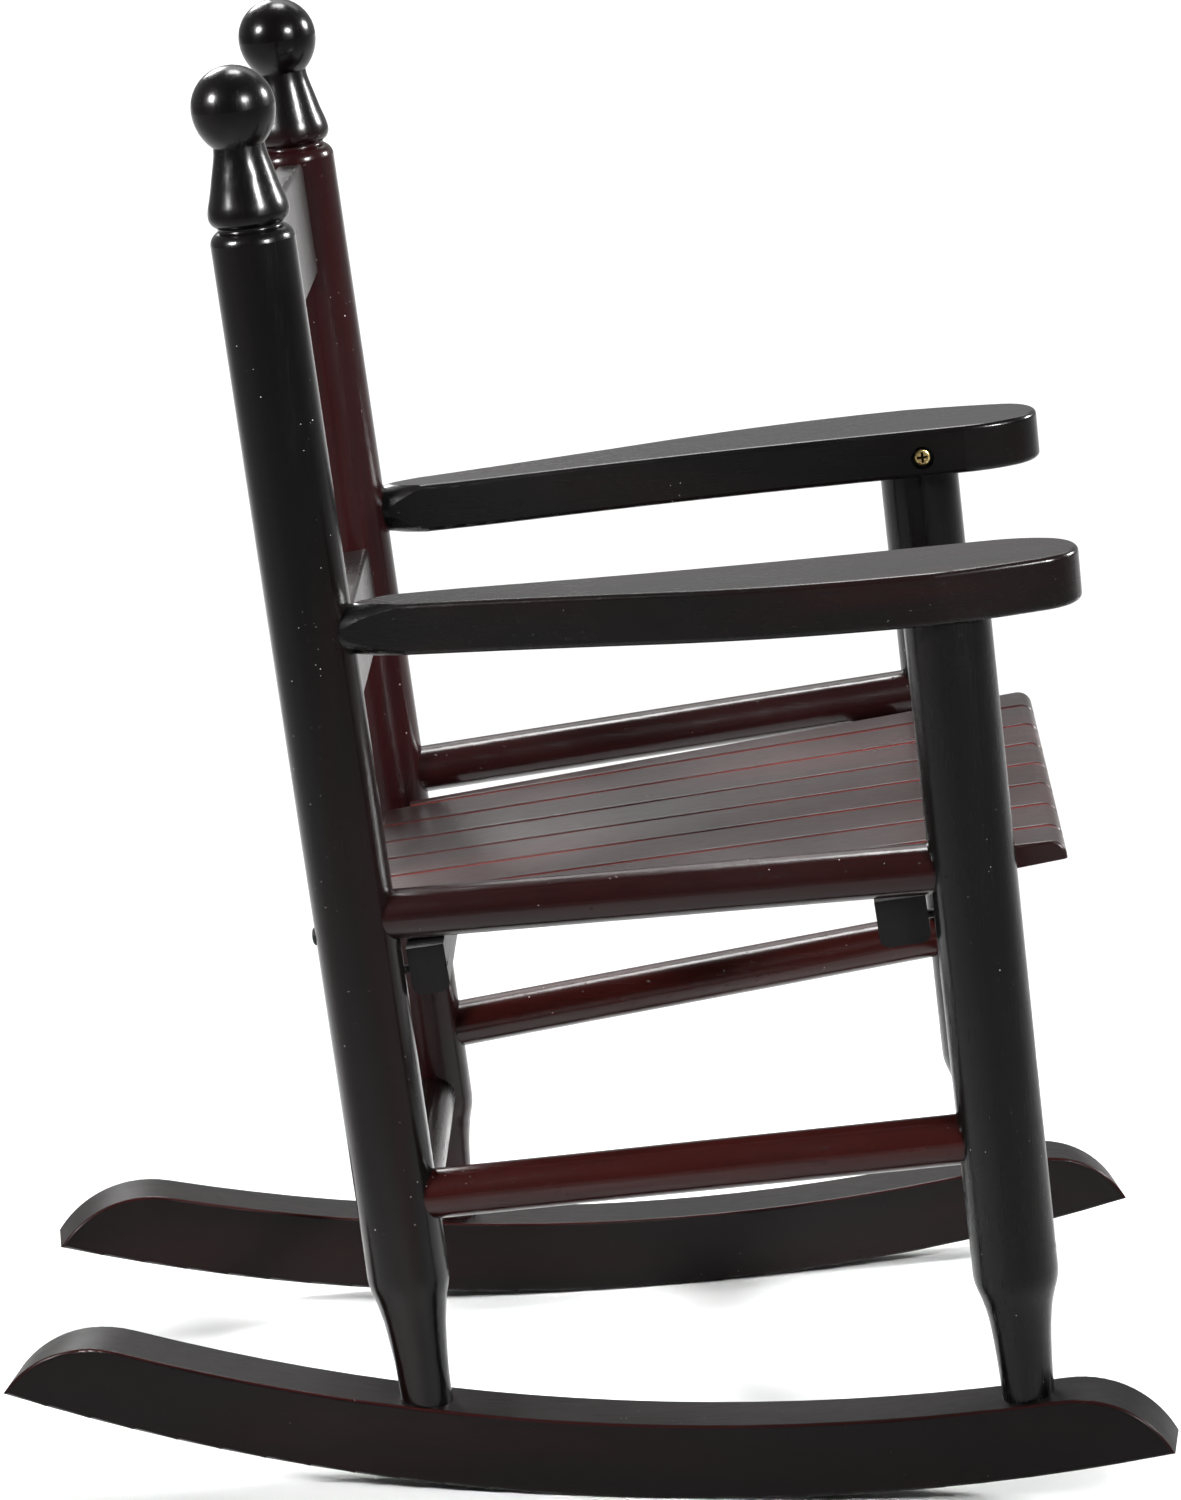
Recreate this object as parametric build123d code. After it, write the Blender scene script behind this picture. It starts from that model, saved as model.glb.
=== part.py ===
from build123d import *
from math import atan2, cos, degrees, radians, sin, sqrt, tan
import os

# Child's porch rocking chair, built from separate turned, sawn and screwed pieces.
# The chair is laid out square first: front legs upright at y = 0, front towards -Y, +X at the
# sitter's left, z = 0 where the front leg meets its rocker. At the end all pieces are leaned
# back together to the angle at which the chair balances on its rockers.

# ---- driving dimensions, millimetres and degrees ----
POST_R = 16.4               # back posts
LEG_R = 16.8                # front legs, a little thicker than the back posts
DOWEL_R = 10.0              # side rails, side rungs and stretchers
LEG_X = 144.0               # front leg axis, from the chair's middle plane
POST_X = 112.2              # back post axis at z = 0
POST_Y = 238.8              # back post axis at z = 0, behind the front legs
POST_LEAN_BACK = 0.9        # back posts against the front legs
POST_LEAN_IN = 0.35         # back posts come together a little towards the top

ROCKER_T = 27.0             # rocker board thickness
RUNNING_R = 916.0           # radius of the running edge; the rest is measured along the board
RUNNING_CENTRE = 81.7
RUNNING_LOW_Z = -32.1
TOP_FRONT_R = 950.0         # top edge ahead of its lowest point
TOP_REAR_R = 928.0          # top edge behind its lowest point
TOP_LOW = 73.6
TOP_LOW_Z = -1.1
NOSE_FRONT = -14.5          # where each nose starts on the top edge
NOSE_REAR = 362.5
TIP_FRONT = -56.4
TIP_REAR = 412.8
ROCKER_EASE = 1.5
ROCKER_REAR_X = 110.9       # middle of the board under the back post

FOOT_R = 10.3               # foot where it meets the rocker
FOOT_TAPER = 54.0           # height of the tapered foot
FOOT_TENON_R = 7.0
FOOT_TENON = 12.0
ARM_TENON_R = 8.5           # arm into post
LEG_TENON_R = 9.0           # front leg into arm
LEG_TENON = 13.5
SOCKET_REST = 3.0           # dowels stop this far short of the other piece's axis

GROOVE_Z = 491.5            # middle of the groove under the finial, up the back post
BALL_UP = 45.4              # ball centre above the groove
BALL_R = 16.2
BALL_DOWN = 14.4            # the ball is a little egg shaped: centre down to the neck
NECK_R = 9.9

RAIL_Z = (219.4, 215.8)     # upper side rail, at the front leg and at the back post
RUNG_Z = (109.7, 99.4)      # lower side rung
FRONT_STRETCHER_Z = 84.0
REAR_STRETCHER_Z = 72.5

ARM_TOP_Z = 339.5           # arm top above the front leg
ARM_T = 20.6
ARM_RISE = 0.65             # arms rise to the rear by this angle
ARM_EASE = 2.2
ARM_END_X = 113.6           # axis of the arm's round end
ARM_END_Z = 331.9

BACK_SLAT_T = 11.0
BACK_SLAT_EASE = 2.0
BACK_SLAT_REST = 6.0        # slat ends stop this far short of the post axis
TOP_SLAT = (438.0, 484.6, 3.9)      # bottom, top at its ends, front face ahead of the post axis
MIDDLE_SLAT = (282.5, 319.0, 7.8)
TOP_SLAT_CROWN = 3.0

SEAT_Z = 217.9              # seat top above y = 0
SEAT_FALL = 2.35            # seat falls to the rear by this angle
SEAT_FRONT = -37.0
SEAT_REAR = 242.0
SEAT_REAR_OUTER = 232.0     # the two outermost slats stop in front of the posts
SEAT_T = 9.4
SEAT_HALF = 122.4           # half width at the front edge
SEAT_TAPER = 0.119          # half width lost per millimetre to the rear
SEAT_PITCH = 32.5           # slat spacing at the front edge
SEAT_FAN = 0.00056          # share of that spacing lost per millimetre to the rear
SEAT_GAP = 1.6
SEAT_NOSE_R = 6.0           # rounding over the front ends
SEAT_RELIEF = (20.0, 1.7)   # the front ends thin from below: along, up
SEAT_EASE = 1.4
SEAT_SLATS = 8

FRONT_BATTEN = (19.7, 39.7, 18.9, 138.0)    # front face, rear face, height, half length
REAR_BATTEN = (210.0, 225.0, 19.4, 106.0)
BATTEN_CORNER_R = 4.0

WOOD_DENSITY = 620.0        # kilograms per cubic metre, to find the balance point
STEEL_DENSITY = 7850.0

SPLAY = degrees(atan2(LEG_X - ROCKER_REAR_X, POST_Y))      # rockers come together to the rear


# ---- helpers ----
def mirrored(shape):
    return mirror(shape, about=Plane.YZ)


def rod(start, end, radius):
    """A plain round bar between two points."""
    run = Vector(*end) - Vector(*start)
    plane = Plane(origin=start, z_dir=run)
    return plane * Cylinder(radius, run.length, align=(Align.CENTER, Align.CENTER, Align.MIN))


def between(start, end, cut_start, cut_end, radius):
    """A bar between two axes that stops short of each by its cut."""
    a, b = Vector(*start), Vector(*end)
    run = (b - a).normalized()
    return rod(tuple(a + run * cut_start), tuple(b - run * cut_end), radius)


def turned(outline):
    """A solid of revolution about Z from a closed outline in the XZ plane."""
    return revolve(make_face(Plane.XZ * outline), Axis.Z)


def less(shape, cutters):
    for cutter in cutters:
        shape = shape - cutter
    return shape


def post_point(z):
    """A point on the left back post's axis."""
    x = POST_X - z * tan(radians(POST_LEAN_IN))
    y = POST_Y + z * tan(radians(POST_LEAN_BACK))
    return (x, y, z)


def leg_point(z):
    return (LEG_X, 0.0, z)


def on_post(shape):
    """Lean a shape made about Z into the left back post's place."""
    return Pos(POST_X, POST_Y, 0) * Rot(-POST_LEAN_BACK, -POST_LEAN_IN, 0) * shape


# ---- screws: a body and the cross recess cut in its head ----
# They are made pointing down with the outer face of the head at z = 0. The body alone bores
# the wood around it.
def shank(radius, start, length):
    body = Pos(0, 0, -start) * Cylinder(
        radius, length - start - 3.0, align=(Align.CENTER, Align.CENTER, Align.MAX)
    )
    point = Pos(0, 0, 3.0 - length) * Cone(
        0.4, radius, 3.0, align=(Align.CENTER, Align.CENTER, Align.MAX)
    )
    return body + point


def cross_recess(head_r, depth):
    slot = Box(1.25 * head_r, 1.1, 2 * depth)
    return slot + Rot(0, 0, 90) * slot


def pan_screw(head_r, head_h, radius, length):
    head = Cylinder(head_r, head_h, align=(Align.CENTER, Align.CENTER, Align.MAX))
    head = fillet(head.edges().group_by(Axis.Z)[-1], 0.5 * head_h)
    return head + shank(radius, head_h, length), cross_recess(head_r, 1.4)


def flat_screw(head_r, radius, length):
    head_h = head_r - radius
    head = Cone(radius, head_r, head_h, align=(Align.CENTER, Align.CENTER, Align.MAX))
    return head + shank(radius, head_h, length), cross_recess(head_r, 0.8)


def moved(screw, place):
    return tuple(place * part for part in screw)


def aimed(screw, point, direction):
    """Set a screw with its head at the point, driven along the direction."""
    return moved(screw, Plane(origin=point, z_dir=Vector(*direction) * -1))


def bodies(screws):
    return [body for body, recess in screws]


# ---- rockers ----
def running_edge(s):
    return RUNNING_LOW_Z + RUNNING_R - sqrt(RUNNING_R**2 - (s - RUNNING_CENTRE) ** 2)


def top_edge(s):
    radius = TOP_REAR_R if s > TOP_LOW else TOP_FRONT_R
    return TOP_LOW_Z + radius - sqrt(radius**2 - (s - TOP_LOW) ** 2)


def edge_arc(edge, start, end):
    middle = (start + end) / 2
    return ThreePointArc((start, edge(start)), (middle, edge(middle)), (end, edge(end)))


def on_splay(shape):
    """Turn a board lying along Y into the left rocker's place."""
    return Pos(LEG_X, 0, 0) * Rot(0, 0, SPLAY) * shape


def rocker_blank():
    """The sawn board before its sockets are bored."""
    running = edge_arc(running_edge, TIP_FRONT, TIP_REAR)
    front = edge_arc(top_edge, NOSE_FRONT, TOP_LOW)
    rear = edge_arc(top_edge, TOP_LOW, NOSE_REAR)
    rear_nose = TangentArc(rear @ 1, running @ 1, tangent=rear % 1)
    front_nose = TangentArc(front @ 0, running @ 0, tangent=(front % 0) * -1)
    outline = make_face(Plane.YZ * (running + front + rear + rear_nose + front_nose))
    board = extrude(outline, ROCKER_T / 2, both=True)
    rim = board.edges().filter_by(lambda e: abs((e @ 0).X - (e @ 1).X) < 0.01)
    return on_splay(fillet(rim, ROCKER_EASE))


def rocker_screw(axis_point, base, s):
    """A screw up through the rocker into a foot, and the counterbore its head sits in."""
    sole = running_edge(s)
    head = axis_point(sole + 7.0)
    up = Vector(*axis_point(100.0)) - Vector(*axis_point(0.0))
    screw = aimed(pan_screw(4.2, 2.8, 2.2, 38.0 + base - sole - 30.0), head, tuple(up))
    bore = rod(axis_point(sole - 5.0), head, 5.2)
    return screw, bore


# ---- legs and posts ----
def foot_taper(base, radius):
    return Spline(
        (FOOT_R, base),
        (11.1, base + 0.38 * FOOT_TAPER),
        (14.6, base + 0.82 * FOOT_TAPER),
        (radius, base + FOOT_TAPER),
        tangents=[(0, 1), (0, 1)],
    )


def leg_blank():
    """Front leg left long at both ends, to be coped to rocker and arm."""
    low, high = -6.0, ARM_TOP_Z - ARM_T + 3.0
    outline = Polyline((0, high), (0, low), (FOOT_R, low), (FOOT_R, 0.0))
    outline += foot_taper(0.0, LEG_R)
    outline += Polyline((LEG_R, FOOT_TAPER), (LEG_R, high), (0, high))
    return Pos(LEG_X, 0, 0) * turned(outline)


def post_blank(base):
    """Back post with groove, flared neck and ball, left long at the foot."""
    low = base - 8.0
    z = GROOVE_Z
    ball_z = z + BALL_UP
    neck_z = ball_z - BALL_DOWN
    outline = Polyline((0, ball_z + BALL_R), (0, low), (FOOT_R, low), (FOOT_R, base))
    outline += foot_taper(base, POST_R)
    outline += Line((POST_R, base + FOOT_TAPER), (POST_R, z - 5.5))
    outline += ThreePointArc((POST_R, z - 5.5), (15.5, z - 2.9), (13.1, z - 0.8))
    outline += ThreePointArc((13.1, z - 0.8), (12.8, z), (13.1, z + 0.8))
    outline += ThreePointArc((13.1, z + 0.8), (15.0, z + 2.4), (15.8, z + 5.2))
    outline += Spline(
        (15.8, z + 5.2), (14.4, z + 11.5), (12.4, z + 19.2), (10.6, z + 26.2), (NECK_R, neck_z),
        tangents=[(0, 1), (-0.05, 1)],
    )
    outline += TangentArc((BALL_R, ball_z), (NECK_R, neck_z), tangent=(0, -1))
    outline += TangentArc((BALL_R, ball_z), (0, ball_z + BALL_R), tangent=(0, 1))
    return on_post(turned(outline))


# ---- arms ----
def tangent_run(points, direction):
    """Arcs through the points in turn, each leaving where the last one was heading."""
    arcs = []
    for start, end in zip(points, points[1:]):
        arcs.append(TangentArc(start, end, tangent=direction))
        direction = arcs[-1] % 1
    return arcs


def arm_board():
    """The sawn arm with eased edges, left long and square at the rear."""
    inner = tangent_run([(113.9, 30.0), (106.3, 168.0), (104.0, 241.0)], (0, 1))
    front = [(113.9, -20.0), (119.5, -42.0), (133.0, -52.0), (146.8, -50.2), (156.0, -39.0)]
    front = tangent_run(front + [(163.8, 3.3)], (0, -1))
    outer = tangent_run([(163.8, 3.3), (149.0, 112.0), (125.5, 205.0), (123.0, 241.0)], (0, 1))
    straight = [Line((113.9, 30.0), (113.9, -20.0)), Line((123.0, 241.0), (104.0, 241.0))]
    outline = Wire(inner + front + outer + straight)
    board = extrude(make_face(outline), -ARM_T)
    flat = board.edges().filter_by(lambda e: abs((e @ 0).Z - (e @ 1).Z) < 0.01)
    sides = flat.filter_by(lambda e: (e @ 0.5).Y < 240.0)
    return Pos(0, 0, ARM_TOP_Z) * Rot(ARM_RISE, 0, 0) * fillet(sides, ARM_EASE)


def whittled(board):
    """Bring the arm's rear end down to a round, with long slightly hollow cheeks."""
    taper = ThreePointArc((17.5, 195.0), (9.9, 227.0), (6.2, 250.0))
    outline = taper + Polyline((6.2, 250.0), (0, 250.0), (0, 195.0), (17.5, 195.0))
    bullet = revolve(make_face(outline), Axis.Y)
    block = Pos(0, 229.0, 0) * Box(60.0, 42.0, 60.0)
    return board - Pos(ARM_END_X, 0, ARM_END_Z) * (block - bullet)


def arm_tenon():
    end = post_point(ARM_END_Z)
    start = (ARM_END_X, end[1] - 26.0, ARM_END_Z)
    return rod(start, (ARM_END_X, end[1] - SOCKET_REST, ARM_END_Z), ARM_TENON_R)


# ---- back slats ----
def back_slat(bottom, top, ahead, crown):
    middle = post_point((bottom + top) / 2)
    half = middle[0] - BACK_SLAT_REST
    outline = Polyline((-half, top), (-half, bottom), (half, bottom), (half, top))
    if crown:
        outline += ThreePointArc((half, top), (0, top + crown), (-half, top))
    else:
        outline += Line((half, top), (-half, top))
    slat = extrude(make_face(Plane.XZ * outline), -BACK_SLAT_T)
    long_edges = slat.edges().filter_by(lambda e: abs((e @ 0).X - (e @ 1).X) > half)
    slat = fillet(long_edges, BACK_SLAT_EASE)
    return Pos(0, POST_Y, 0) * Rot(-POST_LEAN_BACK, 0, 0) * Pos(0, -ahead, 0) * slat


# ---- seat, made flat and then tilted ----
def on_seat(shape):
    return Pos(0, 0, SEAT_Z) * Rot(-SEAT_FALL, 0, 0) * shape


def seat_gap_x(number, y):
    """The middle of a gap between slats; gap 0 lies on the chair's middle plane."""
    return number * SEAT_PITCH * (1 - SEAT_FAN * (y - SEAT_FRONT))


def seat_edge_x(y):
    return SEAT_HALF - SEAT_TAPER * (y - SEAT_FRONT)


def seat_relief():
    """The wedge taken off under the front ends."""
    along, up = SEAT_RELIEF
    wedge = Box(300.0, 2 * along, 10.0, align=(Align.CENTER, Align.MAX, Align.MAX))
    return Pos(0, SEAT_FRONT + along, -SEAT_T) * Rot(-degrees(atan2(up, along)), 0, 0) * wedge


def seat_slat(number):
    """One slat of the left half, counted outwards from the middle."""
    outermost = number == SEAT_SLATS // 2
    rear = SEAT_REAR_OUTER if outermost else SEAT_REAR
    corners = []
    for y in (SEAT_FRONT, rear):
        inside = seat_gap_x(number - 1, y) + SEAT_GAP / 2
        outside = seat_edge_x(y) if outermost else seat_gap_x(number, y) - SEAT_GAP / 2
        corners.append(((inside, y), (outside, y)))
    (a, b), (d, c) = corners
    slat = extrude(make_face(Polyline(a, b, c, d, a)), -SEAT_T)
    slat = slat - seat_relief()
    top = slat.edges().group_by(Axis.Z)[-1]
    slat = fillet(top.sort_by(Axis.Y)[0], SEAT_NOSE_R)
    sides = slat.edges().filter_by(lambda e: abs((e @ 0).Y - (e @ 1).Y) > 200.0)
    return on_seat(fillet(sides.group_by(Axis.Z)[-1], SEAT_EASE))


def batten(front, rear, height, half):
    """A seat support lying across under the slats, with its lower corners rounded."""
    bar = Box(2 * half, rear - front, height, align=(Align.CENTER, Align.MIN, Align.MAX))
    lower = bar.edges().filter_by(Axis.X).group_by(Axis.Z)[0]
    bar = fillet(lower, BATTEN_CORNER_R)
    return on_seat(Pos(0, front, -SEAT_T) * bar)


def slat_screw(number, front, rear, height):
    """A screw up through a batten into the middle of a slat of the left half."""
    y = (front + rear) / 2
    inside = seat_gap_x(number - 1, y)
    outside = seat_edge_x(y) if number == SEAT_SLATS // 2 else seat_gap_x(number, y)
    screw = moved(flat_screw(3.4, 1.5, height + 6.5), Rot(180, 0, 0))
    return moved(screw, on_seat(Pos((inside + outside) / 2, y, -SEAT_T - height)))


def support_screw(x, face, toward, up):
    """A screw from a batten's open face into the leg or post beside it."""
    screw = aimed(flat_screw(3.8, 1.8, 36.0), (x, face, up), (0, toward, 0))
    return moved(screw, on_seat(Pos(0, 0, 0)))


# ---- assembly of the left half and the pieces across ----
POST_S = POST_Y / cos(radians(SPLAY))
POST_BASE = top_edge(POST_S)

rocker_board = rocker_blank()
arm_blank = whittled(arm_board())
post_whole = post_blank(POST_BASE)

leg_tenoned = leg_blank() - rocker_board - arm_blank
leg_tenoned += rod(leg_point(4.0), leg_point(-FOOT_TENON), FOOT_TENON_R)
leg_top = ARM_TOP_Z - ARM_T
leg_tenoned += rod(leg_point(leg_top - 4.0), leg_point(leg_top + LEG_TENON), LEG_TENON_R)

post_tenoned = post_whole - rocker_board
post_tenoned += rod(post_point(POST_BASE + 4.0), post_point(POST_BASE - FOOT_TENON), FOOT_TENON_R)

arm_tenoned = (arm_blank - post_whole) + arm_tenon()

rail = between(leg_point(RAIL_Z[0]), post_point(RAIL_Z[1]), SOCKET_REST, SOCKET_REST, DOWEL_R)
rung = between(leg_point(RUNG_Z[0]), post_point(RUNG_Z[1]), SOCKET_REST, SOCKET_REST, DOWEL_R)
left_leg, left_post = leg_point(FRONT_STRETCHER_Z), post_point(REAR_STRETCHER_Z)
right_leg, right_post = (-LEG_X, 0.0, left_leg[2]), (-left_post[0], left_post[1], left_post[2])
front_stretcher = between(right_leg, left_leg, SOCKET_REST, SOCKET_REST, DOWEL_R)
rear_stretcher = between(right_post, left_post, SOCKET_REST, SOCKET_REST, DOWEL_R)

top_slat = back_slat(*TOP_SLAT, TOP_SLAT_CROWN)
middle_slat = back_slat(*MIDDLE_SLAT, 0.0)

arm_screw = aimed(pan_screw(3.75, 2.4, 2.0, 27.0), (115.2, -1.6, 327.3), (1, 0, 0))
arm_bore = rod((100.0, -1.6, 327.3), (117.6, -1.6, 327.3), 5.0)

rail_end = post_point(209.6)
rail_run = Vector(*leg_point(RAIL_Z[0])) - Vector(*post_point(RAIL_Z[1]))
rail_dir = rail_run.normalized()
rail_head = Vector(*rail_end) - rail_dir * (POST_R + 1.2)
rail_screw = aimed(pan_screw(3.8, 2.4, 2.0, 44.0), tuple(rail_head), tuple(rail_dir))

front_rocker_screw, front_rocker_bore = rocker_screw(leg_point, 0.0, 0.0)
rear_rocker_screw, rear_rocker_bore = rocker_screw(post_point, POST_BASE, POST_S)

front_support_screw = support_screw(133.0, FRONT_BATTEN[1], -1, -SEAT_T - 9.0)
rear_support_screw = support_screw(103.0, REAR_BATTEN[0], 1, -SEAT_T - 9.0)

slat_screws = []
for row in (FRONT_BATTEN, REAR_BATTEN):
    for number in range(1, SEAT_SLATS // 2 + 1):
        slat_screws.append(slat_screw(number, row[0], row[1], row[2]))

leg_screws = [arm_screw, front_rocker_screw, front_support_screw]
post_screws = [rail_screw, rear_rocker_screw, rear_support_screw]
left_support_screws = [front_support_screw, rear_support_screw]

rocker = less(rocker_board, [leg_tenoned, post_tenoned, front_rocker_bore, rear_rocker_bore])
rocker = less(rocker, bodies([front_rocker_screw, rear_rocker_screw]))
front_leg = less(leg_tenoned, [rail, rung, front_stretcher] + bodies(leg_screws))
back_post = less(post_tenoned, [rail, rung, rear_stretcher, top_slat, middle_slat, arm_tenoned])
back_post = less(back_post, bodies(post_screws))
arm = less(arm_tenoned, [leg_tenoned, arm_bore] + bodies([arm_screw]))
rail = less(rail, bodies([rail_screw]))

pieces = {
    "rocker_left": rocker,
    "front_leg_left": front_leg,
    "back_post_left": back_post,
    "arm_left": arm,
    "side_rail_left": rail,
    "side_rung_left": rung,
}
for name in list(pieces):
    pieces[name.replace("left", "right")] = mirrored(pieces[name])

pieces["front_stretcher"] = front_stretcher
pieces["rear_stretcher"] = rear_stretcher
pieces["back_slat_top"] = top_slat
pieces["back_slat_middle"] = middle_slat

for number in range(1, SEAT_SLATS // 2 + 1):
    slat = less(seat_slat(number), bodies(slat_screws))
    half = SEAT_SLATS // 2
    pieces[f"seat_slat_{half + number}"] = slat
    pieces[f"seat_slat_{half + 1 - number}"] = mirrored(slat)

bores = bodies(slat_screws + left_support_screws)
bores += [mirrored(body) for body in bores]
for name, row in (("front", FRONT_BATTEN), ("rear", REAR_BATTEN)):
    pieces[f"seat_support_{name}"] = less(batten(*row), bores)

screw_groups = {
    "arm_screws": [arm_screw],
    "rail_screws": [rail_screw],
    "rocker_screws": [front_rocker_screw, rear_rocker_screw],
    "seat_support_screws": left_support_screws,
    "slat_screws": slat_screws,
}
for name, screws in screw_groups.items():
    finished = [body - recess for body, recess in screws]
    pieces[name] = Compound(finished + [mirrored(screw) for screw in finished])

# ---- lean the chair back to where it balances, with its lowest point at z = 0 ----
mass, moment_y, moment_z = 0.0, 0.0, 0.0
for name, shape in pieces.items():
    density = STEEL_DENSITY if name in screw_groups else WOOD_DENSITY
    for solid in shape.solids():
        weight = solid.volume * density
        centre = solid.center(CenterOf.MASS)
        mass += weight
        moment_y += weight * centre.Y
        moment_z += weight * centre.Z

splay_cos = cos(radians(SPLAY))
contact_y = RUNNING_CENTRE * splay_cos + ROCKER_T / 2 * sin(radians(SPLAY))
centre_z = RUNNING_LOW_Z + RUNNING_R * splay_cos**2
lean = degrees(atan2(moment_y / mass - contact_y, centre_z - moment_z / mass))

pieces = {name: Rot(-lean, 0, 0) * shape for name, shape in pieces.items()}
box = Compound(list(pieces.values())).bounding_box()
settle = Pos(0, -(box.min.Y + box.max.Y) / 2, -box.min.Z)

os.makedirs("parts", exist_ok=True)
for name, shape in pieces.items():
    placed = settle * shape
    placed.label = name
    export_step(placed, f"parts/{name}.step")
print(f"lean {lean:.2f} degrees, wood and screws {mass * 1e-9:.2f} kg")
print(f"size {box.size.X:.1f} x {box.size.Y:.1f} x {box.size.Z:.1f} mm")
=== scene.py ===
import math

import bpy
from mathutils import Matrix, Vector

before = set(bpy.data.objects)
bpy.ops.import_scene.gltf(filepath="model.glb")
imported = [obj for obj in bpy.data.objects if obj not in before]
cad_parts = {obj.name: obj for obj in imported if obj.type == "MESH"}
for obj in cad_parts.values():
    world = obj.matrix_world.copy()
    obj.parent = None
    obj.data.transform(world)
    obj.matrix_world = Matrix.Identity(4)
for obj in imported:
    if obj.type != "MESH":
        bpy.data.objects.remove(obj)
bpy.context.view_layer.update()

# ---- pattern sizes, in cells per metre, and relief heights in metres ----
STAIN_PATCHES = 22.0
FIBRES = 420.0
PORES = 900.0
SMEARS = 14.0
DUST = 170.0
MOTES = 420.0
DUST_DRIFT = 24.0
PEEL = 240.0
WAVES = 60.0
NIBS = 300.0
PLATING_PATCHES = 900.0
SCRATCHES = 5200.0

PEEL_HEIGHT = 0.0002
WAVE_HEIGHT = 0.0006
PORE_HEIGHT = 0.00008
NIB_HEIGHT = 0.0004
SCRATCH_HEIGHT = 0.00003
RECESS_SHADE = 0.0006       # painted shade in the cross recess fades in over this depth
WARM_FADE = 0.02            # warm patches fade out over this height

# ---- colours, linear ----
BLACK = (0.0013, 0.0012, 0.0012)
NEAR_BLACK = (0.0021, 0.0016, 0.0015)
ROCKER_BLACK = (0.0021, 0.0013, 0.0013)
FAR_POST_BLACK = (0.0014, 0.0011, 0.0012)
RAIL_BLACK = (0.0024, 0.0011, 0.0013)
RED = (0.0200, 0.0030, 0.0024)
WINE = (0.0066, 0.0016, 0.0016)
FAR_POST_WINE = (0.0115, 0.0019, 0.0022)
RAIL_WINE = (0.0090, 0.0019, 0.0019)
# the rocker's upper corners: partly lacquer rubbed thin, partly a painted highlight line
RUBBED_EDGE_AND_HIGHLIGHT = (0.021, 0.0050, 0.0050)
BARE = (0.115, 0.011, 0.008)
SEAT_DARK = (0.0060, 0.0032, 0.0032)
SEAT_WARM = (0.0180, 0.0052, 0.0050)
SLAT_DARK = (0.0065, 0.0055, 0.0055)
SLAT_WARM = (0.0180, 0.0100, 0.0100)
DUST_GREY = (0.75, 0.70, 0.66)
ZINC = (0.86, 0.66, 0.30)
ZINC_WORN = (0.62, 0.45, 0.18)
# painted shade for the inside of the screw heads' cross recess
PAINTED_RECESS_SHADE = (0.030, 0.020, 0.010)
OXIDE = (0.03, 0.03, 0.032)
OXIDE_WORN = (0.015, 0.015, 0.015)
PAPER = (0.84, 0.84, 0.84)
PAPER_MOTTLE = 0.985        # the floor's darker patches, as a share of its colour
WHITE = (1.0, 1.0, 1.0, 1.0)

# ---- places, in metres ----
NECK_HEIGHT = 0.525         # the left back post is redder below this
SCREW_RECESS_X = 0.1156     # arm screw recesses lie further out than this
FLOOR_HALF = 12.0
CHAIR = Vector((0.0, 0.0, 0.28))
ARMS = (0.0, 0.0, 0.36)
LAMP_DISTANCE = 2.4

CAMERA_PLACE = (-2.16612, -0.07510, 0.82767)
CAMERA_AHEAD = (0.96839, 0.02953, -0.24769)
CAMERA_ROLL = math.radians(2.217)
LENS_MM = 130.96
SENSOR_MM = 36.0

X, Y, Z = 0, 1, 2


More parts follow.
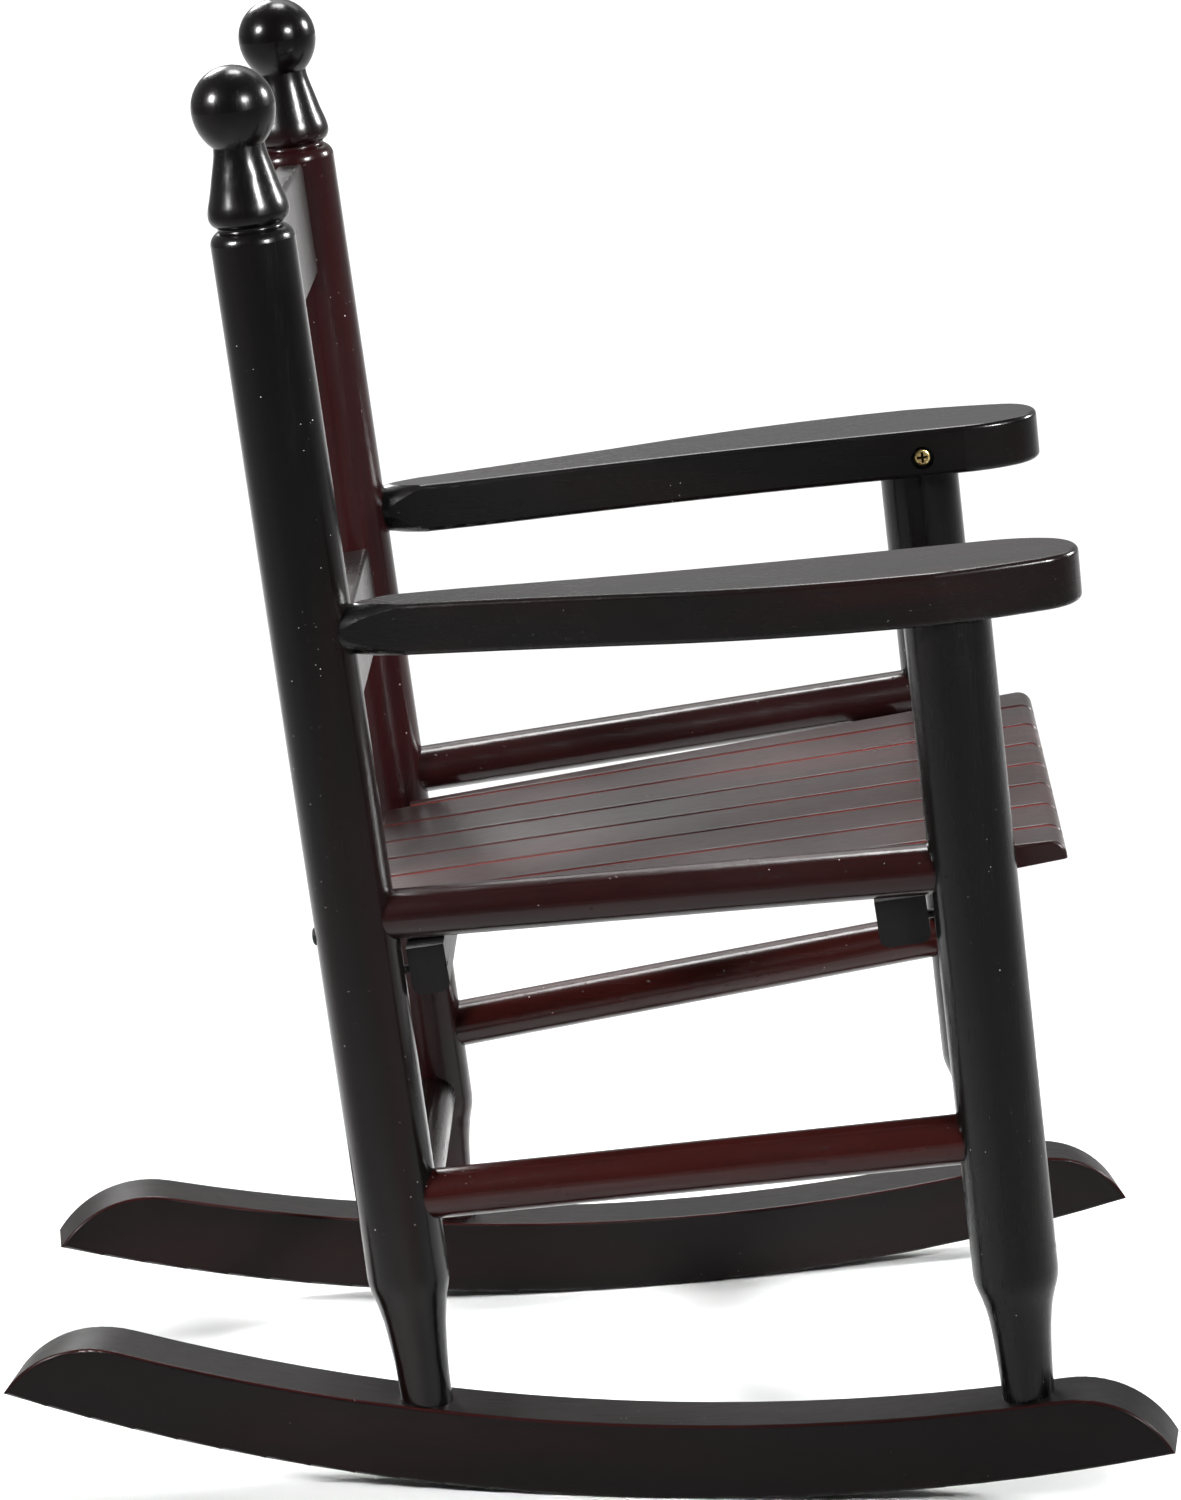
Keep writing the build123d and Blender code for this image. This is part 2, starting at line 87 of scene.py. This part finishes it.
# ---- node helpers ----
class Graph:
    """A material's node tree, with short calls for the nodes used here."""

    def __init__(self, name):
        self.material = bpy.data.materials.new(name)
        self.material.use_nodes = True
        self.tree = self.material.node_tree
        self.shader = self.tree.nodes["Principled BSDF"]
        coordinates = self.node("ShaderNodeTexCoord")
        self.place = coordinates.outputs["Object"]
        self.facing = self.node("ShaderNodeSeparateXYZ")
        self.put(self.facing.inputs[0], coordinates.outputs["Normal"])
        position = self.node("ShaderNodeSeparateXYZ")
        self.put(position.inputs[0], self.place)
        self.across, self.height = position.outputs[0], position.outputs[2]

    def node(self, kind, **settings):
        new = self.tree.nodes.new(kind)
        for key, value in settings.items():
            setattr(new, key, value)
        return new

    def put(self, socket, value):
        if isinstance(value, bpy.types.NodeSocket):
            self.tree.links.new(value, socket)
        else:
            socket.default_value = value

    def stretched(self, scale, offset=(0.0, 0.0, 0.0)):
        """The object's coordinates, scaled, and shifted so that patterns don't coincide."""
        new = self.node("ShaderNodeMapping")
        self.put(new.inputs["Vector"], self.place)
        new.inputs["Scale"].default_value = scale
        new.inputs["Location"].default_value = offset
        return new.outputs["Vector"]

    def noise(self, vector, scale, detail=3.0, rough=0.5, distortion=0.0):
        new = self.node("ShaderNodeTexNoise")
        self.put(new.inputs["Vector"], vector)
        new.inputs["Scale"].default_value = scale
        new.inputs["Detail"].default_value = detail
        new.inputs["Roughness"].default_value = rough
        new.inputs["Distortion"].default_value = distortion
        return new.outputs["Fac"]

    def ramp(self, value, low, high, out_low=0.0, out_high=1.0):
        """A smooth step from out_low at low to out_high at high."""
        new = self.node("ShaderNodeMapRange", interpolation_type="SMOOTHSTEP")
        self.put(new.inputs["Value"], value)
        new.inputs["From Min"].default_value = low
        new.inputs["From Max"].default_value = high
        new.inputs["To Min"].default_value = out_low
        new.inputs["To Max"].default_value = out_high
        return new.outputs["Result"]

    def math(self, operation, a, b=0.0):
        new = self.node("ShaderNodeMath", operation=operation)
        self.put(new.inputs[0], a)
        self.put(new.inputs[1], b)
        return new.outputs[0]

    def blend(self, factor, a, b):
        new = self.node("ShaderNodeMix", data_type="RGBA")
        self.put(new.inputs["Factor"], factor)
        for socket, value in ((new.inputs[6], a), (new.inputs[7], b)):
            if isinstance(value, tuple):
                value = (*value, 1.0)
            self.put(socket, value)
        return new.outputs[2]

    def separate(self, value, part):
        new = self.node("ShaderNodeSeparateColor")
        self.put(new.inputs[0], value)
        return new.outputs[part]

    def dots(self, scale, radius, keep, seed):
        """Small round specks, one in each of a share of the cells."""
        cells = self.node("ShaderNodeTexVoronoi", feature="F1")
        self.put(cells.inputs["Vector"], self.stretched((1, 1, 1), (seed, seed * 1.7, seed * 2.3)))
        cells.inputs["Scale"].default_value = scale
        chosen = self.math("GREATER_THAN", self.separate(cells.outputs["Color"], 0), 1.0 - keep)
        near = self.ramp(cells.outputs["Distance"], radius * 0.45, radius, 1.0, 0.0)
        return self.math("MULTIPLY", near, chosen)

    def bump(self, height, distance, strength, normal=None):
        new = self.node("ShaderNodeBump")
        self.put(new.inputs["Height"], height)
        new.inputs["Distance"].default_value = distance
        new.inputs["Strength"].default_value = strength
        if normal is not None:
            self.put(new.inputs["Normal"], normal)
        return new.outputs["Normal"]


def grain_scale(axis, across, along):
    return tuple(along if i == axis else across for i in range(3))


# ---- materials ----
def lacquer(name, axis, dark, warm, warmth, rough, specks=0.5, grain=0.35, nibs=0.5, ior=1.32,
            edge=None, sides=(0.0, 0.0), warm_below=None):
    """Dark lacquer over stained wood: thin patches show red, dust nibs and grain show as relief.

    The grain runs along the axis. An edge colour is painted along the upper corners of a board,
    partly as lacquer rubbed thin and partly as a painted highlight line. The sides are how far
    bare red wood shows on the faces towards -X and +X. Warm patches can be kept below a height.
    """
    g = Graph(name)
    patches = g.noise(g.stretched(grain_scale(axis, 1.0, 0.12)), STAIN_PATCHES, 3.0, 0.55, 0.6)
    fibres = g.noise(g.stretched(grain_scale(axis, 1.0, 0.03)), FIBRES, 4.0, 0.6)
    pores = g.noise(g.stretched(grain_scale(axis, 1.0, 0.05), (3.1, 1.3, 7.7)), PORES, 2.0, 0.5)

    # the stain, from dark to warm, with darker pores
    thin = g.ramp(patches, 0.5 - warmth * 0.5, 0.95 - warmth * 0.4)
    thin = g.math("MULTIPLY", thin, g.ramp(fibres, 0.25, 0.75, 0.7, 1.0))
    if warm_below:
        low_down = g.ramp(g.height, warm_below - WARM_FADE, warm_below, 1.0, 0.0)
        thin = g.math("MULTIPLY", thin, low_down)
    colour = g.blend(thin, dark, warm)
    streak = tuple(c * 0.45 for c in dark)
    colour = g.blend(g.ramp(pores, 0.56, 0.72, 0.0, grain), colour, streak)

    # upper corners painted partly as rubbed lacquer and partly as a highlight line, and bare wood on the
    # sides
    if edge:
        lean = g.math("ABSOLUTE", g.facing.outputs[0])
        band = g.math("MULTIPLY", g.ramp(lean, 0.25, 0.5), g.ramp(lean, 0.8, 0.95, 1.0, 0.0))
        band = g.math("MULTIPLY", band, g.ramp(g.facing.outputs[2], 0.1, 0.35))
        # the band's colour: partly lacquer rubbed thin, partly a painted highlight line
        worn = g.math("MULTIPLY", band, g.ramp(patches, 0.3, 0.6, 0.5, 1.0))
        colour = g.blend(worn, colour, edge)
    if any(sides):
        right = g.ramp(g.facing.outputs[0], -0.85, -0.7, sides[0], 0.0)
        left = g.ramp(g.facing.outputs[0], 0.7, 0.85, 0.0, sides[1])
        uneven = g.ramp(patches, 0.35, 0.6, 0.35, 1.0)
        bare = g.math("MULTIPLY", g.math("MAXIMUM", right, left), uneven)
        colour = g.blend(bare, colour, BARE)

    # dust in the lacquer, in drifts
    drift = g.ramp(g.noise(g.stretched((1, 1, 1), (2.0, 6.0, 1.0)), DUST_DRIFT, 2.0, 0.5), 0.5, 0.62)
    dust = g.dots(DUST, 0.055, 0.30 * specks, 1.3)
    motes = g.dots(MOTES, 0.09, 0.16 * specks, 5.9)
    marks = g.math("MULTIPLY", g.math("MAXIMUM", dust, motes), drift)
    colour = g.blend(g.math("MULTIPLY", marks, 0.9), colour, DUST_GREY)
    g.put(g.shader.inputs["Base Color"], colour)

    # gloss: smeared, duller in the pores and sharper on the band along the upper corners
    smear = g.noise(g.stretched((1, 1, 1), (9.0, 2.0, 4.0)), SMEARS, 4.0, 0.6)
    roughness = g.ramp(smear, 0.3, 0.7, rough * 0.85, rough * 1.2)
    roughness = g.math("ADD", roughness, g.ramp(pores, 0.5, 0.75, 0.0, 0.06))
    if edge:
        roughness = g.math("SUBTRACT", roughness, g.math("MULTIPLY", band, rough * 0.6))
    g.put(g.shader.inputs["Roughness"], roughness)
    g.shader.inputs["IOR"].default_value = ior

    # relief: orange peel, slow waves, pores and nibs
    normal = g.bump(g.noise(g.place, PEEL, 2.0, 0.5), PEEL_HEIGHT, 0.18)
    waves = g.noise(g.stretched(grain_scale(axis, 1.0, 0.25)), WAVES, 2.0, 0.5)
    normal = g.bump(waves, WAVE_HEIGHT, 0.3, normal)
    normal = g.bump(pores, PORE_HEIGHT, grain, normal)
    lumps = g.math("MAXIMUM", g.dots(NIBS, 0.16, 0.12 * nibs, 8.8), marks)
    normal = g.bump(lumps, NIB_HEIGHT, 0.8, normal)
    g.put(g.shader.inputs["Normal"], normal)
    return g.material


def seat_look(name, sides):
    return lacquer(name, Y, SEAT_DARK, SEAT_WARM, 0.5, 0.32, specks=0.2, ior=1.33, sides=sides)


def metal(name, colour, worn, rough, recess_x=None):
    """Plated screw metal with fine turning scratches and slightly darker patches.

    Heads that face the middle plane can have painted shade in their cross recess, beyond recess_x.
    """
    g = Graph(name)
    patches = g.noise(g.place, PLATING_PATCHES, 4.0, 0.6)
    plating = g.blend(g.ramp(patches, 0.35, 0.7), colour, worn)
    if recess_x:
        # painted shade in the cross recess, deeper than recess_x
        depth = g.math("ABSOLUTE", g.across)
        plating = g.blend(g.ramp(depth, recess_x, recess_x + RECESS_SHADE), plating, PAINTED_RECESS_SHADE)
    g.put(g.shader.inputs["Base Color"], plating)
    g.shader.inputs["Metallic"].default_value = 1.0
    scratches = g.noise(g.stretched((1.0, 0.1, 1.0)), SCRATCHES, 2.0, 0.5)
    g.put(g.shader.inputs["Roughness"], g.ramp(scratches, 0.3, 0.7, rough * 0.8, rough * 1.3))
    g.put(g.shader.inputs["Normal"], g.bump(scratches, SCRATCH_HEIGHT, 0.5))
    return g.material


def paper(name, colour):
    g = Graph(name)
    mottle = g.noise(g.place, 6.0, 3.0, 0.5)
    darker = tuple(c * PAPER_MOTTLE for c in colour)
    g.put(g.shader.inputs["Base Color"], g.blend(g.ramp(mottle, 0.3, 0.7), colour, darker))
    g.shader.inputs["Roughness"].default_value = 0.9
    g.shader.inputs["Specular IOR Level"].default_value = 0.1
    return g.material


looks = {
    "post": lacquer("post_lacquer", Z, BLACK, WINE, 0.15, 0.20, specks=1.0, ior=1.3),
    "far_post": lacquer("far_post_lacquer", Z, FAR_POST_BLACK, FAR_POST_WINE, 0.75, 0.20, specks=1.2,
                        ior=1.3, warm_below=NECK_HEIGHT),
    "leg": lacquer("leg_lacquer", Z, BLACK, WINE, 0.10, 0.24, specks=0.8, ior=1.3),
    "rocker": lacquer("rocker_lacquer", Y, ROCKER_BLACK, WINE, 0.20, 0.42, specks=0.15, ior=1.23,
                      edge=RUBBED_EDGE_AND_HIGHLIGHT),
    "arm": lacquer("arm_lacquer", Y, BLACK, WINE, 0.20, 0.24, specks=0.4, ior=1.31),
    "rung": lacquer("rung_lacquer", Y, WINE, RED, 0.75, 0.20, specks=2.2, nibs=1.6, ior=1.36),
    "rail": lacquer("rail_lacquer", Y, RAIL_BLACK, RAIL_WINE, 0.7, 0.18, specks=0.3, nibs=0.8, ior=1.36),
    "stretcher": lacquer("stretcher_lacquer", X, NEAR_BLACK, WINE, 0.6, 0.24, specks=0.4),
    "seat": seat_look("seat_lacquer", (1.0, 1.0)),
    "seat_near": seat_look("seat_near_lacquer", (0.0, 1.0)),
    "seat_far": seat_look("seat_far_lacquer", (1.0, 0.0)),
    "slat": lacquer("slat_lacquer", Z, SLAT_DARK, SLAT_WARM, 0.2, 0.30, specks=0.2, grain=0.45, ior=1.55),
    "batten": lacquer("batten_lacquer", X, BLACK, WINE, 0.1, 0.36, specks=0.2),
    "brass": metal("brass_plate", ZINC, ZINC_WORN, 0.25, recess_x=SCREW_RECESS_X),
    "black": metal("black_oxide", OXIDE, OXIDE_WORN, 0.38),
}


def look_for(node):
    """The look of a node, from the first of these words that its name holds."""
    if node == "arm_screws":
        return looks["brass"]
    if node.endswith("_screws"):
        return looks["black"]
    for word, look in (
        ("back_post_left", "far_post"), ("back_post", "post"), ("front_leg", "leg"),
        ("rocker", "rocker"), ("arm", "arm"), ("side_rung", "rung"), ("side_rail", "rail"),
        ("stretcher", "stretcher"), ("seat_slat_1", "seat_near"), ("seat_slat_8", "seat_far"),
        ("seat_slat", "seat"), ("back_slat", "slat"), ("seat_support", "batten"),
    ):
        if word in node:
            return looks[look]
    raise ValueError(node)


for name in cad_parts:
    piece = bpy.data.objects[name]
    for slot in piece.material_slots:
        slot.material = look_for(name)


# ---- floor and light ----
def add(name, data):
    """A new object in the scene that holds the data."""
    new = bpy.data.objects.new(name, data)
    bpy.context.scene.collection.objects.link(new)
    return new


mesh = bpy.data.meshes.new("floor")
corners = [(x * FLOOR_HALF, y * FLOOR_HALF, 0) for x, y in ((-1, -1), (1, -1), (1, 1), (-1, 1))]
mesh.from_pydata(corners, [], [(0, 1, 2, 3)])
mesh.materials.append(paper("floor_paper", PAPER))
floor = add("floor", mesh)

# a bright room beyond the chair's left side, and a dim one beyond its right
world = bpy.data.worlds.new("studio")
world.use_nodes = True
nodes, links = world.node_tree.nodes, world.node_tree.links
where = nodes.new("ShaderNodeTexCoord")
parts = nodes.new("ShaderNodeSeparateXYZ")
links.new(where.outputs["Generated"], parts.inputs[0])
glow = nodes.new("ShaderNodeMapRange")
for socket, value in (("From Min", -0.5), ("From Max", 0.8), ("To Min", 0.06), ("To Max", 0.5)):
    glow.inputs[socket].default_value = value
links.new(parts.outputs["X"], glow.inputs["Value"])
links.new(glow.outputs["Result"], nodes["Background"].inputs["Strength"])
nodes["Background"].inputs["Color"].default_value = WHITE
bpy.context.scene.world = world
bpy.context.scene.view_settings.view_transform = "Standard"


def softbox(name, place, size, power, spread, target):
    """A square area light aimed at a point."""
    light = bpy.data.lights.new(name, "AREA")
    light.shape = "SQUARE"
    light.size = size
    light.energy = power
    light.spread = math.radians(spread)
    lamp = add(name, light)
    lamp.location = place
    lamp.rotation_euler = (Vector(place) - Vector(target)).to_track_quat("Z", "Y").to_euler()


def around(direction):
    return CHAIR + Vector(direction).normalized() * LAMP_DISTANCE


softbox("overhead", (1.0, 0.0, 2.6), 0.68, 44.0, 180.0, (0.6, 0.0, 0.0))
softbox("backdrop", (5.0, 0.0, 3.6), 5.0, 190.0, 130.0, (5.0, 0.0, 0.0))
softbox("key_left", around((-0.445, 0.757, 0.477)), 0.46, 3.4, 22.0, ARMS)
softbox("key_right", around((-0.669, -0.564, 0.48)), 0.46, 3.4, 22.0, ARMS)
softbox("side_right", around((0.378, -0.826, 0.418)), 0.5, 3.0, 28.0, ARMS)
softbox("rear_left", around((0.758, 0.358, 0.545)), 0.7, 2.4, 30.0, ARMS)


# ---- camera ----
camera = bpy.data.cameras.new("camera")
camera.lens = LENS_MM
camera.sensor_width = SENSOR_MM
eye = add("camera", camera)
ahead = Vector(CAMERA_AHEAD).normalized()
level = ahead.cross(Vector((0.0, 0.0, 1.0))).normalized()
sideways = Matrix.Rotation(CAMERA_ROLL, 3, ahead) @ level
upward = sideways.cross(ahead)
turn = Matrix((sideways, upward, -ahead)).transposed().to_4x4()
eye.matrix_world = Matrix.Translation(CAMERA_PLACE) @ turn
bpy.context.scene.camera = eye
